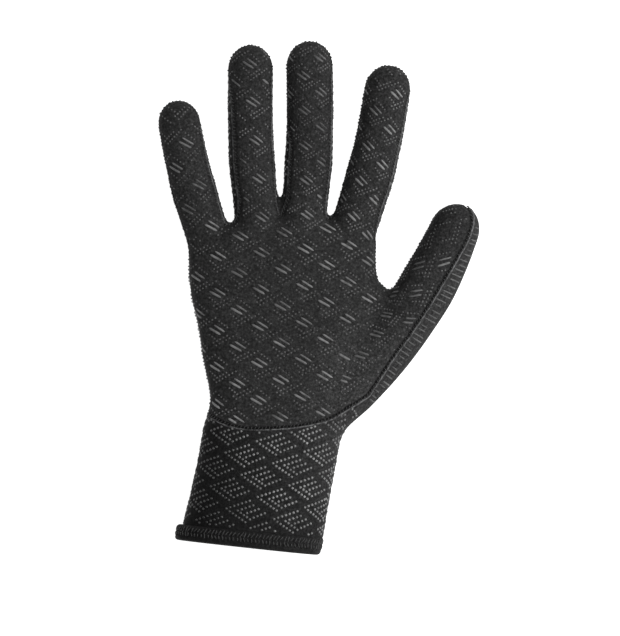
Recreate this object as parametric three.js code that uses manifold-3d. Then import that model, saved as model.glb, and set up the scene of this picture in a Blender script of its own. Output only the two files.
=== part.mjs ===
// A right-hand diving glove of thin neoprene, lying on its back with the palm up.
// Units are millimetres. +Z points up out of the palm, +Y along the fingers and +X towards the thumb.
// The origin lies under the middle of the glove, on the surface that it rests on.
//
// The glove is a hollow skin: a hand form, the same form drawn in by one wall, and the difference of
// the two. A seam runs round the sides of the fingers, up the outer face of the thumb and across the
// wrist. It parts the skin into the palm panel and the back panel, and the back panel goes on below the
// wrist as the cuff. A thick stitched hem closes the mouth of the cuff.

import * as THREE from "three";
import { mergeVertices } from "three/addons/utils/BufferGeometryUtils.js";
import Module from "manifold-3d";

const wasm = await Module();
wasm.setup();

// Material and seams
const WALL = 2.5;
const SEAM_GAP = 0.3;

// Hand: the palm reaches from the wrist to the finger webs
const PALM_LENGTH = 108;
const PALM_WIDTH = 103;
const PALM_DEPTH = 29;
const REST_SINK = 1.6;

// Cuff: from the wrist to the hem
const CUFF_LENGTH = 52;
const CUFF_WIDTH = 74;
const CUFF_DEPTH = 38;
const CUFF_SHIFT = -3.6;
const CUFF_LEAN = -10.6;
const CUFF_TILT = -5.3;

// Hem: a folded band, proud of the cuff and flush with its lining
const HEM_HEIGHT = 8.5;
const HEM_PROUD = 1.7;
const HEM_SHIFT = -1.2;
const HEM_ROUND = 1.4;

// Fingers: the middle one's sizes, from a root line inside the palm
const FINGER_LENGTH = 115;
const FINGER_WIDTH = 24;
const FINGER_DEPTH = 20;
const FINGER_LIFT = 8;

// Thumb, from a root inside the heel of the hand
const THUMB_LENGTH = 136;
const THUMB_WIDTH = 31;
const THUMB_DEPTH = 26;
const THUMB_LIFT = 7;

// Each finger. length, width, tipWidth, depth and lift: shares of the finger sizes, lift being how far
// the tip rises off the surface. rootAcross and rootAlong: shares of PALM_WIDTH and PALM_LENGTH.
// heading: degrees from +Y towards +X at the root. turn: degrees that the heading gains on the way to
// the tip.
const FINGERS = [
  {
    name: "little",
    length: 0.752,
    width: 0.992,
    tipWidth: 0.892,
    depth: 0.925,
    lift: 0.75,
    rootAcross: -0.325,
    rootAlong: 0.808,
    heading: -17.3,
    turn: 7,
  },
  {
    name: "ring",
    length: 0.983,
    width: 0.983,
    tipWidth: 0.967,
    depth: 0.975,
    lift: 1,
    rootAcross: -0.094,
    rootAlong: 0.808,
    heading: -5.8,
    turn: 6.5,
  },
  {
    name: "middle",
    length: 1,
    width: 1.017,
    tipWidth: 1,
    depth: 1,
    lift: 1,
    rootAcross: 0.094,
    rootAlong: 0.808,
    heading: 5.6,
    turn: -6.5,
  },
  {
    name: "index",
    length: 0.917,
    width: 1.033,
    tipWidth: 0.983,
    depth: 1,
    lift: 0.875,
    rootAcross: 0.314,
    rootAlong: 0.808,
    heading: 18,
    turn: -9,
  },
].map((row) => ({
  ...row,
  length: row.length * FINGER_LENGTH,
  width: row.width * FINGER_WIDTH,
  tipWidth: row.tipWidth * FINGER_WIDTH,
  depth: row.depth * FINGER_DEPTH,
  lift: row.lift * FINGER_LIFT,
}));
const THUMB = {
  name: "thumb",
  length: THUMB_LENGTH,
  width: THUMB_WIDTH,
  tipWidth: 0.813 * THUMB_WIDTH,
  depth: THUMB_DEPTH,
  lift: THUMB_LIFT,
  rootAcross: 0.188,
  rootAlong: 0.058,
  heading: 50,
  turn: -31,
};

// Facets
const BODY_SIDES = 32;
const FINGER_SIDES = 18;
const THUMB_SIDES = 20;
const TIP_RINGS = 4;
const SEAM_STEPS = 44;

// Shape shares
const BODY_SQUARENESS = 2.5;
const FINGER_SQUARENESS = 2.15;
const TIP_LENGTH_SHARE = 0.56;
const FAR = 400;

// The palm. along: share of PALM_LENGTH from the wrist. left and right: shares of PALM_WIDTH from the
// palm's middle line. depth and rise: shares of PALM_DEPTH, rise being how far the section stands off
// the surface below.
const PALM_ROWS = [
  { along: 0.02, left: -0.386, right: 0.32, depth: 1.13, rise: 0 },
  { along: 0.09, left: -0.363, right: 0.39, depth: 1.08, rise: 0 },
  { along: 0.16, left: -0.353, right: 0.41, depth: 1.04, rise: 0 },
  { along: 0.33, left: -0.386, right: 0.44, depth: 1.0, rise: 0 },
  { along: 0.5, left: -0.414, right: 0.5, depth: 1.0, rise: 0 },
  { along: 0.6, left: -0.438, right: 0.545, depth: 1.0, rise: 0 },
  { along: 0.65, left: -0.449, right: 0.56, depth: 1.0, rise: 0 },
  { along: 0.69, left: -0.455, right: 0.522, depth: 0.99, rise: 0 },
  { along: 0.73, left: -0.459, right: 0.488, depth: 0.97, rise: 0 },
  { along: 0.81, left: -0.465, right: 0.482, depth: 0.92, rise: 0 },
  { along: 0.9, left: -0.468, right: 0.486, depth: 0.82, rise: 0.02 },
  { along: 0.95, left: -0.42, right: 0.47, depth: 0.7, rise: 0.05 },
  { along: 0.985, left: -0.285, right: 0.36, depth: 0.56, rise: 0.1 },
  { along: 1.015, left: -0.16, right: 0.29, depth: 0.44, rise: 0.14 },
  { along: 1.045, left: -0.1, right: 0.1, depth: 0.28, rise: 0.2 },
];

// The cuff. along: share of CUFF_LENGTH from the wrist towards the hem. width and depth: shares of
// CUFF_WIDTH and CUFF_DEPTH.
const CUFF_ROWS = [
  { along: 1.0, width: 0.985, depth: 1.0 },
  { along: 0.7, width: 0.975, depth: 0.97 },
  { along: 0.4, width: 0.97, depth: 0.92 },
  { along: 0.14, width: 0.98, depth: 0.88 },
];

// A finger from root to tip, before the tip is rounded. width: share of its width, which gives way to
// its tip width. depth: share of its depth.
const FINGER_ROWS = [
  { along: 0.0, width: 1.0, depth: 1.05 },
  { along: 0.14, width: 1.0, depth: 1.04 },
  { along: 0.3, width: 0.99, depth: 1.02 },
  { along: 0.45, width: 1.03, depth: 1.0 },
  { along: 0.6, width: 1.0, depth: 0.97 },
  { along: 0.72, width: 1.0, depth: 0.97 },
  { along: 0.86, width: 1.0, depth: 0.92 },
];
const THUMB_ROWS = [
  { along: 0.0, width: 0.88, depth: 0.98 },
  { along: 0.1, width: 0.97, depth: 1.05 },
  { along: 0.22, width: 0.98, depth: 1.1 },
  { along: 0.38, width: 1.02, depth: 1.1 },
  { along: 0.52, width: 1.05, depth: 1.0 },
  { along: 0.66, width: 1.1, depth: 0.92 },
  { along: 0.78, width: 1.06, depth: 0.86 },
  { along: 0.9, width: 1.0, depth: 0.82 },
];

// The seam over the wrist, from the little finger's side. across and along: shares of PALM_WIDTH and
// PALM_LENGTH.
const WRIST_SEAM_ROWS = [
  { across: -0.46, along: 0.14 },
  { across: -0.371, along: 0.082 },
  { across: -0.28, along: 0.034 },
  { across: -0.19, along: 0.014 },
  { across: -0.1, along: 0.01 },
  { across: 0.06, along: 0.019 },
  { across: 0.16, along: 0.034 },
  { across: 0.26, along: 0.062 },
  { across: 0.336, along: 0.106 },
];

// The seam on the thumb. along: share of the thumb's length. side: share of its half width, towards the
// outer edge.
const THUMB_SEAM_ROWS = [
  { along: 0.185, side: 0.6 },
  { along: 0.22, side: 0.58 },
  { along: 0.28, side: 0.49 },
  { along: 0.385, side: 0.38 },
  { along: 0.473, side: 0.38 },
  { along: 0.576, side: 0.37 },
  { along: 0.686, side: 0.39 },
  { along: 0.794, side: 0.48 },
  { along: 0.875, side: 0.57 },
  { along: 0.94, side: 0.55 },
  { along: 0.985, side: 0.32 },
  { along: 1.01, side: -0.05 },
  { along: 1.03, side: -0.7 },
];

// The seam round the sides, seen from the side. along: share of the way from the wrist to the middle
// finger's tip. height: share of PALM_DEPTH.
const SIDE_SEAM_ROWS = [
  { along: -0.1, height: 0.46 },
  { along: 0.1, height: 0.44 },
  { along: 0.35, height: 0.42 },
  { along: 0.58, height: 0.42 },
  { along: 0.8, height: 0.47 },
  { along: 1.0, height: 0.58 },
];

// Helpers

const radians = THREE.MathUtils.degToRad;
const lerp = THREE.MathUtils.lerp;

function signedPower(value, power) {
  return Math.sign(value) * Math.abs(value) ** power;
}

// Reads a column of a table at a share along it, along smooth steps between its rows.
function readColumn(rows, column, along) {
  const last = rows.length - 1;
  if (along <= rows[0].along) return rows[0][column];
  if (along >= rows[last].along) return rows[last][column];
  const above = rows.findIndex((row) => row.along > along);
  const low = rows[above - 1];
  const high = rows[above];
  const share = THREE.MathUtils.smoothstep(along, low.along, high.along);
  return lerp(low[column], high[column], (share + (along - low.along) / (high.along - low.along)) / 2);
}

// One ring of points round a section, drawn in by inset and flattened where it rests.
function ringPoints(section, inset, sides) {
  const halfWidth = Math.max(section.halfWidth - inset, 0.05);
  const halfDepth = Math.max(section.halfDepth - inset, 0.05);
  return Array.from({ length: sides }, (_, i) => {
    const angle = (2 * Math.PI * i) / sides;
    const across = halfWidth * signedPower(Math.cos(angle), 2 / section.squareness);
    const up = halfDepth * signedPower(Math.sin(angle), 2 / section.squareness);
    return new THREE.Vector3(
      section.x + across * Math.cos(section.tilt),
      section.y + across * Math.sin(section.tilt),
      Math.max(section.z + up, inset),
    );
  });
}

// A closed body lofted through rings of points, with a flat fan at each end.
function loftRings(rings) {
  const sides = rings[0].length;
  const points = rings.flat();
  const faces = [];
  for (let r = 0; r + 1 < rings.length; r++) {
    for (let i = 0; i < sides; i++) {
      const a = r * sides + i;
      const b = r * sides + ((i + 1) % sides);
      faces.push([a, b + sides, b], [a, a + sides, b + sides]);
    }
  }
  const ends = [
    { ring: rings[0], start: 0, flip: true },
    { ring: rings[rings.length - 1], start: (rings.length - 1) * sides, flip: false },
  ];
  for (const { ring, start, flip } of ends) {
    const middle = ring.reduce((sum, p) => sum.add(p), new THREE.Vector3()).divideScalar(sides);
    const hub = points.push(middle) - 1;
    for (let i = 0; i < sides; i++) {
      const a = start + i;
      const b = start + ((i + 1) % sides);
      faces.push(flip ? [hub, a, b] : [hub, b, a]);
    }
  }
  return solidFrom(points, faces);
}

function solidFrom(points, faces) {
  const geometry = new THREE.BufferGeometry();
  const positions = points.flatMap((point) => [point.x, point.y, point.z]);
  geometry.setAttribute("position", new THREE.Float32BufferAttribute(positions, 3));
  geometry.setIndex(faces.flat());
  return solidFromGeometry(geometry);
}

function solidFromGeometry(source) {
  const bare = source.clone();
  bare.deleteAttribute("normal");
  bare.deleteAttribute("uv");
  const merged = mergeVertices(bare, 1e-4);
  return new wasm.Manifold(
    new wasm.Mesh({
      numProp: 3,
      vertProperties: merged.attributes.position.array,
      triVerts: new Uint32Array(merged.index.array),
    }),
  );
}

function meshFrom(solid, name, material) {
  const { numProp, numVert, vertProperties, triVerts } = solid.getMesh();
  const positions = new Float32Array(numVert * 3);
  for (let i = 0; i < numVert; i++) {
    positions.set(vertProperties.subarray(i * numProp, i * numProp + 3), i * 3);
  }
  const geometry = new THREE.BufferGeometry();
  geometry.setAttribute("position", new THREE.BufferAttribute(positions, 3));
  geometry.setIndex(new THREE.BufferAttribute(triVerts, 1));
  const flat = geometry.toNonIndexed();
  flat.computeVertexNormals();
  const mesh = new THREE.Mesh(flat, material);
  mesh.name = name;
  return mesh;
}

// Hand form

function palmSections() {
  return PALM_ROWS.map((row) => {
    const halfDepth = (row.depth * PALM_DEPTH) / 2;
    return {
      x: ((row.left + row.right) / 2) * PALM_WIDTH,
      y: (row.along - 0.5) * PALM_LENGTH,
      z: halfDepth - REST_SINK + row.rise * PALM_DEPTH,
      tilt: 0,
      halfWidth: ((row.right - row.left) / 2) * PALM_WIDTH,
      halfDepth,
      squareness: BODY_SQUARENESS,
    };
  });
}

// The cuff's section at a share from the wrist towards the hem; shares over 1 go on past the cuff's end.
function cuffSection(along) {
  const halfDepth = (readColumn([...CUFF_ROWS].reverse(), "depth", along) * CUFF_DEPTH) / 2;
  return {
    x: CUFF_SHIFT + CUFF_LEAN * along,
    y: -PALM_LENGTH / 2 - CUFF_LENGTH * along,
    z: halfDepth - REST_SINK,
    tilt: radians(CUFF_TILT * along),
    halfWidth: (readColumn([...CUFF_ROWS].reverse(), "width", along) * CUFF_WIDTH) / 2,
    halfDepth,
    squareness: BODY_SQUARENESS,
  };
}

// A finger's heading at a share of its length: the turn is made round its middle joints.
function fingerHeading(finger, along) {
  const share = finger === THUMB ? along : THREE.MathUtils.smoothstep(along, 0.25, 0.85);
  return finger.heading + finger.turn * share;
}

// The place of a finger's centre line at a share of its length, and the tilt of its section there.
function fingerPlace(finger, along) {
  const steps = 24;
  const sink = finger === THUMB ? REST_SINK : REST_SINK / 2;
  const place = {
    x: finger.rootAcross * PALM_WIDTH,
    y: (finger.rootAlong - 0.5) * PALM_LENGTH,
    z: (finger.depth * readColumn(rowsOf(finger), "depth", along)) / 2 - sink + finger.lift * along ** 2,
    tilt: -radians(fingerHeading(finger, along)),
  };
  for (let i = 0; i < steps; i++) {
    const heading = radians(fingerHeading(finger, (along * (i + 0.5)) / steps));
    place.x += (Math.sin(heading) * finger.length * along) / steps;
    place.y += (Math.cos(heading) * finger.length * along) / steps;
  }
  return place;
}

// A finger's half width at a share of its length, before the tip is rounded.
function fingerHalfWidth(finger, along) {
  return (lerp(finger.width, finger.tipWidth, along) * readColumn(rowsOf(finger), "width", along)) / 2;
}

function rowsOf(finger) {
  return finger === THUMB ? THUMB_ROWS : FINGER_ROWS;
}

// The sections of a finger: the table's rows, then rings that round the tip. The inner form stops one
// wall short.
function fingerSections(finger, inset) {
  const rows = rowsOf(finger);
  const reach = 1 - inset / finger.length;
  const tipLength = (TIP_LENGTH_SHARE * finger.tipWidth) / finger.length;
  const tipStart = reach - tipLength;
  const stations = rows
    .filter((row) => row.along < tipStart - 0.02)
    .map((row) => ({ along: row.along, share: 1 }));
  for (let i = 0; i < TIP_RINGS; i++) {
    const angle = (Math.PI / 2) * (i / TIP_RINGS);
    stations.push({ along: tipStart + tipLength * Math.sin(angle), share: Math.cos(angle) });
  }
  stations.push({ along: reach, share: 0.06 });
  return stations.map(({ along, share }) => {
    const halfWidth = fingerHalfWidth(finger, along);
    const halfDepth = (readColumn(rows, "depth", along) * finger.depth) / 2;
    return {
      ...fingerPlace(finger, along),
      halfWidth: (halfWidth - inset) * share + inset,
      halfDepth: (halfDepth - inset) * share + inset,
      squareness: FINGER_SQUARENESS,
    };
  });
}

function fingerSolid(finger, inset) {
  const sides = finger === THUMB ? THUMB_SIDES : FINGER_SIDES;
  return loftRings(fingerSections(finger, inset).map((s) => ringPoints(s, inset, sides)));
}

// The whole hand form. The inner one runs out through the mouth of the cuff.
function handForm(inset) {
  const mouth = inset > 0 ? [1.3] : [];
  const sections = [...mouth, ...CUFF_ROWS.map((row) => row.along)].map(cuffSection).concat(palmSections());
  const body = loftRings(sections.map((s) => ringPoints(s, inset, BODY_SIDES)));
  return [...FINGERS, THUMB].reduce((form, finger) => form.add(fingerSolid(finger, inset)), body);
}

// Seams

function palmPoint(row) {
  return new THREE.Vector2(row.across * PALM_WIDTH, (row.along - 0.5) * PALM_LENGTH);
}

function thumbSeamPoint(row) {
  const place = fingerPlace(THUMB, row.along);
  const side = row.side * fingerHalfWidth(THUMB, row.along);
  return new THREE.Vector2(place.x + side * Math.cos(place.tilt), place.y + side * Math.sin(place.tilt));
}

// A flat outline pushed out into a solid of the given depth.
function prism(outline, depth) {
  return new THREE.ExtrudeGeometry(new THREE.Shape(outline), { depth, bevelEnabled: false });
}

// A curve moved sideways, to its left, by a distance.
function moveLeft(curve, distance) {
  return curve.map((point, i) => {
    const before = curve[Math.max(i - 1, 0)];
    const after = curve[Math.min(i + 1, curve.length - 1)];
    const along = after.clone().sub(before).normalize();
    return new THREE.Vector2(point.x - along.y * distance, point.y + along.x * distance);
  });
}

// The room that holds the palm panel, drawn in by inset. In plan it lies above the wrist seam and
// inside the thumb seam, and it takes in every finger. Seen from the side it lies above the side seam.
function palmSideRoom(inset) {
  const seam = [...WRIST_SEAM_ROWS.map(palmPoint), ...THUMB_SEAM_ROWS.map(thumbSeamPoint)];
  const plan = moveLeft(new THREE.SplineCurve(seam).getPoints(SEAM_STEPS), inset);
  const start = plan[0];
  const end = plan.at(-1);
  const planOutline = [
    new THREE.Vector2(-FAR, start.y),
    ...plan,
    new THREE.Vector2(end.x, FAR),
    new THREE.Vector2(-FAR, FAR),
  ];
  const planRoom = prism(planOutline, FAR);
  const middleFinger = FINGERS[2];
  const reach = middleFinger.rootAlong * PALM_LENGTH + middleFinger.length;
  const side = SIDE_SEAM_ROWS.map(
    (row) => new THREE.Vector2(row.along * reach - PALM_LENGTH / 2, row.height * PALM_DEPTH),
  );
  const profile = moveLeft(new THREE.SplineCurve(side).getPoints(SEAM_STEPS / 2), inset);
  const sideOutline = [
    new THREE.Vector2(-FAR, profile[0].y),
    ...profile,
    new THREE.Vector2(FAR, profile.at(-1).y),
    new THREE.Vector2(FAR, FAR),
    new THREE.Vector2(-FAR, FAR),
  ];
  const sideRoom = prism(sideOutline, 2 * FAR);
  sideRoom.rotateX(Math.PI / 2).rotateZ(Math.PI / 2).translate(-FAR, 0, 0);
  return solidFromGeometry(planRoom).intersect(solidFromGeometry(sideRoom));
}

// Hem

function hemRing(inset, sections) {
  return loftRings(sections.map((s) => ringPoints(s, inset, BODY_SIDES)));
}

function hemSolid() {
  const shareOf = (length) => length / CUFF_LENGTH;
  const start = 1 + shareOf(SEAM_GAP);
  const end = start + shareOf(HEM_HEIGHT);
  const outerStations = [
    { along: end, proud: HEM_PROUD - HEM_ROUND },
    { along: end - shareOf(HEM_ROUND), proud: HEM_PROUD },
    { along: start + shareOf(HEM_ROUND / 2), proud: HEM_PROUD },
    { along: start, proud: HEM_PROUD - HEM_ROUND / 2 },
  ];
  const outer = hemRing(
    0,
    outerStations.map(({ along, proud }) => {
      const section = cuffSection(along);
      return {
        ...section,
        x: section.x + HEM_SHIFT,
        z: section.z + proud,
        halfWidth: section.halfWidth + proud,
        halfDepth: section.halfDepth + proud,
      };
    }),
  );
  const inner = hemRing(WALL, [end + shareOf(HEM_HEIGHT), start - shareOf(HEM_HEIGHT)].map(cuffSection));
  return outer.subtract(inner);
}

// Assembly

function cloth(name, color, roughness) {
  return new THREE.MeshStandardMaterial({ name, color, roughness, metalness: 0 });
}


const skin = handForm(0).subtract(handForm(WALL));
const palmPanel = skin.intersect(palmSideRoom(SEAM_GAP / 2));
const backPanel = skin.subtract(palmSideRoom(-SEAM_GAP / 2));

const glove = new THREE.Group();
glove.add(meshFrom(palmPanel, "palm_panel", cloth("palm_cloth", 0x2a2a2c, 0.85)));
glove.add(meshFrom(backPanel, "back_panel", cloth("back_cloth", 0x303032, 0.8)));
glove.add(meshFrom(hemSolid(), "cuff_hem", cloth("hem_cloth", 0x1c1c1e, 0.9)));

// Puts the origin under the middle of the whole glove.
const bounds = new THREE.Box3().setFromObject(glove);
const middle = bounds.getCenter(new THREE.Vector3());
glove.children.forEach((mesh) => mesh.geometry.translate(-middle.x, -middle.y, -bounds.min.z));

export default glove;
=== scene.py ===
import math

import bpy
import numpy as np
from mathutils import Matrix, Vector
from mathutils.bvhtree import BVHTree


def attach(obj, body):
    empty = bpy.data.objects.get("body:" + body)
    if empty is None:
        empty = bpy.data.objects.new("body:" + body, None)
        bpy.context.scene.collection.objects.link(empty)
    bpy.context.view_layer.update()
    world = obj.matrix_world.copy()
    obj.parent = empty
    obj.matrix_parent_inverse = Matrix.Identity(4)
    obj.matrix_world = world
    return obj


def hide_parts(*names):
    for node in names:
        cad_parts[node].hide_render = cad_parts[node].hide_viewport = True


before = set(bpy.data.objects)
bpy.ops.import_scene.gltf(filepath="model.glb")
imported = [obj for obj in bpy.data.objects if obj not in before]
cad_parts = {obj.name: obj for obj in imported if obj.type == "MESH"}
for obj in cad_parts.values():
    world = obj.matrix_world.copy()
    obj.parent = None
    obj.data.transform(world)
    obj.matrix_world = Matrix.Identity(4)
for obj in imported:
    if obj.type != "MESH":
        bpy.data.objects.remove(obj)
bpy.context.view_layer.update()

# Where the hand's frame lies in the row frame
MIDDLE_X = 20.185
MIDDLE_Y = 14.625

# Named sizes, as in the CAD part, apart from a wall that is a little thinner
WALL = 2.3
PALM_LENGTH = 108.0
PALM_WIDTH = 103.0
PALM_DEPTH = 29.0
REST_SINK = 1.6
CUFF_LENGTH = 52.0
CUFF_WIDTH = 74.0
CUFF_DEPTH = 38.0
CUFF_SHIFT = -3.6
CUFF_LEAN = -10.6
CUFF_TILT = -5.3
MOUTH_SHARE = 0.985
HEM_START = 0.3
HEM_SHIFT = -1.2
FINGER_LENGTH = 115.0
FINGER_WIDTH = 24.0
FINGER_DEPTH = 20.0
FINGER_LIFT = 8.0
THUMB_LENGTH = 136.0
THUMB_WIDTH = 31.0
THUMB_DEPTH = 26.0
THUMB_LIFT = 7.0
BODY_SQUARENESS = 2.5
FINGER_SQUARENESS = 2.15
TIP_LENGTH_SHARE = 0.56

# Where the fingers' centre lines start, as a share of the palm's length
FINGER_ROOT = 0.808

# Where the thumb's outer edge runs into the cuff, in plan
OUTER_CORNER = (33.0, -55.0)

# Fineness
VOXEL = 1.28
BODY_SIDES = 96
FINGER_SIDES = 56
BODY_STEPS = 150
FINGER_STEPS = 90
TIP_STEPS = 16

# A distance or share that nothing reaches, and a place in plan well outside the glove
FAR = 1e9
OUTSIDE = 400

# Smoothing goes a step in and a slightly longer step back out. Its rounds: the whole skin, the webs at the
# fingers' roots, the crease beside the thumb, the outer corner, and the whole skin once more
STEP_IN = 0.5
STEP_OUT = -0.52
FIRST_ROUNDS = 14
WEB_ROUNDS = 18
CREASE_ROUNDS = 88
CORNER_ROUNDS = 54
LAST_ROUNDS = 4

# The lowest that an outer skin lies, just clear of the floor, and the lowest of the inner faces
FLOOR_GAP = 0.02
INNER_FLOOR = 0.6
HEM_INNER_FLOOR = 0.9

# Name, length, width, tip width, depth, lift (shares), root across, root along, heading, turn (degrees)
FINGERS = [
    ("little", 0.752, 0.992, 0.892, 0.925, 0.75, -0.325, FINGER_ROOT, -17.3, 7.0),
    ("ring", 0.983, 0.983, 0.967, 0.975, 1.0, -0.094, FINGER_ROOT, -5.8, 6.5),
    ("middle", 1.0, 1.017, 1.0, 1.0, 1.0, 0.094, FINGER_ROOT, 5.6, -6.5),
    ("index", 0.917, 1.033, 0.983, 1.0, 0.875, 0.314, FINGER_ROOT, 18.0, -9.0),
]
THUMB = ("thumb", 1.0, 1.0, 0.813, 1.0, 1.0, 0.188, 0.058, 50.0, -31.0)

# Share along the palm, left, right (shares of its width), depth, rise (shares of its depth)
PALM_ROWS = [
    (0.02, -0.386, 0.32, 1.13, 0.0),
    (0.09, -0.363, 0.39, 1.08, 0.0),
    (0.16, -0.353, 0.41, 1.04, 0.0),
    (0.33, -0.386, 0.44, 1.0, 0.0),
    (0.5, -0.414, 0.5, 1.0, 0.0),
    (0.6, -0.438, 0.545, 1.0, 0.0),
    (0.65, -0.449, 0.56, 1.0, 0.0),
    (0.69, -0.455, 0.522, 0.99, 0.0),
    (0.73, -0.459, 0.488, 0.97, 0.0),
    (0.81, -0.465, 0.482, 0.92, 0.0),
    (0.9, -0.468, 0.486, 0.82, 0.02),
    (0.95, -0.42, 0.47, 0.7, 0.05),
    (0.985, -0.285, 0.36, 0.56, 0.1),
    (1.015, -0.16, 0.29, 0.44, 0.14),
    (1.045, -0.1, 0.1, 0.28, 0.2),
]
# Share of the cuff's length from the wrist, width, depth
CUFF_ROWS = [
    (1.22, MOUTH_SHARE, 1.0),
    (1.0, MOUTH_SHARE, 1.0),
    (0.7, 0.975, 0.97),
    (0.4, 0.97, 0.92),
    (0.14, 0.98, 0.88),
]
# Share along the finger, width, depth
FINGER_ROWS = [
    (0.0, 1.0, 1.05),
    (0.14, 1.0, 1.04),
    (0.3, 0.99, 1.02),
    (0.45, 1.03, 1.0),
    (0.6, 1.0, 0.97),
    (0.72, 1.0, 0.97),
    (0.86, 1.0, 0.92),
]
THUMB_ROWS = [
    (0.0, 0.88, 0.98),
    (0.1, 0.97, 1.05),
    (0.22, 0.98, 1.1),
    (0.38, 1.02, 1.1),
    (0.52, 1.05, 1.0),
    (0.66, 1.1, 0.92),
    (0.78, 1.06, 0.86),
    (0.9, 1.0, 0.82),
]
# Share along the thumb, degrees that the palm print is turned there, how far it is shifted (mm, x and y)
THUMB_PRINT_ROWS = [
    (0.0, 8.0, 1.5, 5.0),
    (0.28, 12.0, 1.5, 5.0),
    (0.4, 16.0, 0.5, 3.5),
    (0.55, 36.0, -3.0, 0.5),
    (0.8, 47.0, -4.0, 0.0),
    (1.0, 50.0, -4.0, 0.0),
]
# The palm print where a finger stretches it, in mm: one motif's middle, the step to the next one across
# and the step to the next one down
FINGER_PRINT = {
    "little": ((-42.0, 73.5), (12.6, -8.6), (-5.9, -12.9)),
    "ring": ((-12.6, 96.4), (10.5, -9.2), (-8.9, -10.7)),
    "middle": ((12.9, 93.8), (9.4, -8.7), (-8.9, -9.4)),
    "index": ((41.8, 75.3), (7.7, -10.0), (-11.4, -8.3)),
}
# Across, along: shares of the palm's width and length
WRIST_SEAM_ROWS = [
    (-0.46, 0.14),
    (-0.371, 0.082),
    (-0.28, 0.034),
    (-0.19, 0.014),
    (-0.1, 0.01),
    (0.06, 0.019),
    (0.16, 0.034),
    (0.26, 0.062),
    (0.336, 0.106),
]
# Share along the thumb, share of its half width towards the outer edge
THUMB_SEAM_ROWS = [
    (0.185, 0.6),
    (0.22, 0.58),
    (0.28, 0.49),
    (0.385, 0.38),
    (0.473, 0.38),
    (0.576, 0.37),
    (0.686, 0.39),
    (0.794, 0.48),
    (0.875, 0.57),
    (0.94, 0.55),
    (0.985, 0.32),
    (1.01, -0.05),
    (1.03, -0.7),
]
# Share of the way from the wrist to the middle finger's tip, height as a share of the palm's depth
SIDE_SEAM_ROWS = [(-0.1, 0.46), (0.1, 0.44), (0.35, 0.42), (0.58, 0.42), (0.8, 0.47), (1.0, 0.58)]
# Finger, side (-1 left), rise of the side seam in mm, share along where it begins, is full, ends, is gone
SEAM_RISES = [
    ("little", 1, 2.4, 0.05, 0.2, 0.8, 1.0),
    ("ring", -1, 5.2, 0.12, 0.3, 0.72, 0.95),
    ("ring", 1, 2.8, 0.1, 0.3, 0.8, 1.0),
    ("middle", -1, 5.2, 0.12, 0.3, 0.5, 0.7),
    ("middle", 1, 3.4, 0.1, 0.3, 0.8, 1.0),
    ("index", 1, 4.0, 0.1, 0.3, 0.8, 1.0),
]
# Painted highlights on the palm's cloth, at the heel of the thumb: x, y, radius (mm), gain
PAINTED_HIGHLIGHT_PATCHES = [(46, -20, 20, 0.55), (27, -41, 16, 0.25)]


# Helpers


def smooth_line(xs, ys):
    """A smooth curve through points that doesn't overshoot them."""
    xs, ys = np.asarray(xs, float), np.asarray(ys, float)
    step = np.diff(xs)
    slope = np.diff(ys) / step
    turn = np.zeros(len(xs))
    turn[0], turn[-1] = slope[0], slope[-1]
    for i in range(1, len(xs) - 1):
        if slope[i - 1] * slope[i] > 0:
            w1, w2 = 2 * step[i] + step[i - 1], step[i] + 2 * step[i - 1]
            turn[i] = (w1 + w2) / (w1 / slope[i - 1] + w2 / slope[i])

    def at(x):
        x = np.clip(np.asarray(x, float), xs[0], xs[-1])
        i = np.clip(np.searchsorted(xs, x) - 1, 0, len(xs) - 2)
        t = (x - xs[i]) / step[i]
        low = (1 + 2 * t) * (1 - t) ** 2 * ys[i] + t * (1 - t) ** 2 * step[i] * turn[i]
        return low + t * t * (3 - 2 * t) * ys[i + 1] + t * t * (t - 1) * step[i] * turn[i + 1]

    return at


def spline(points, steps):
    """A uniform Catmull-Rom curve through points."""
    p = np.asarray(points, float)
    last = len(p) - 1
    out = []
    for k in range(steps + 1):
        at = last * k / steps
        i = min(int(at), last - 1)
        t = at - i
        a, b, c, d = p[max(i - 1, 0)], p[i], p[i + 1], p[min(i + 2, last)]
        v0, v1 = (c - a) / 2, (d - b) / 2
        out.append((2 * b - 2 * c + v0 + v1) * t**3 + (-3 * b + 3 * c - 2 * v0 - v1) * t * t + v0 * t + b)
    return np.array(out)


def smoothstep(x, low, high):
    t = np.clip((x - low) / (high - low), 0, 1)
    return t * t * (3 - 2 * t)


def signed_power(value, power):
    return np.sign(value) * np.abs(value) ** power


def unit(v):
    return v / np.maximum(np.linalg.norm(v, axis=-1, keepdims=True), 1e-12)


def down_cuff(points):
    """How far points lie down the cuff, from 0 at the wrist to 1 at its end."""
    return np.clip((-PALM_LENGTH / 2 - points[:, 1]) / CUFF_LENGTH, 0, 1)


def above_mouth(points, share):
    """How far points lie on the hand's side of the tilted line across the cuff at a share of its length."""
    lean = (points[:, 0] - (CUFF_SHIFT + CUFF_LEAN)) * math.tan(math.radians(-CUFF_TILT))
    return (points[:, 1] + PALM_LENGTH / 2) + CUFF_LENGTH * share + lean


def new_object(name, contents):
    made = bpy.data.objects.new(name, contents)
    bpy.context.scene.collection.objects.link(made)
    return made


# The hand's parts


class Part:
    """The body or a finger: its centre line in plan, half sizes, and the line that a print follows."""

    def at(self, s):
        """Everything at shares along the part, one column each."""
        return {k: np.interp(s, self.s, v) for k, v in self.columns.items()}


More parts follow.
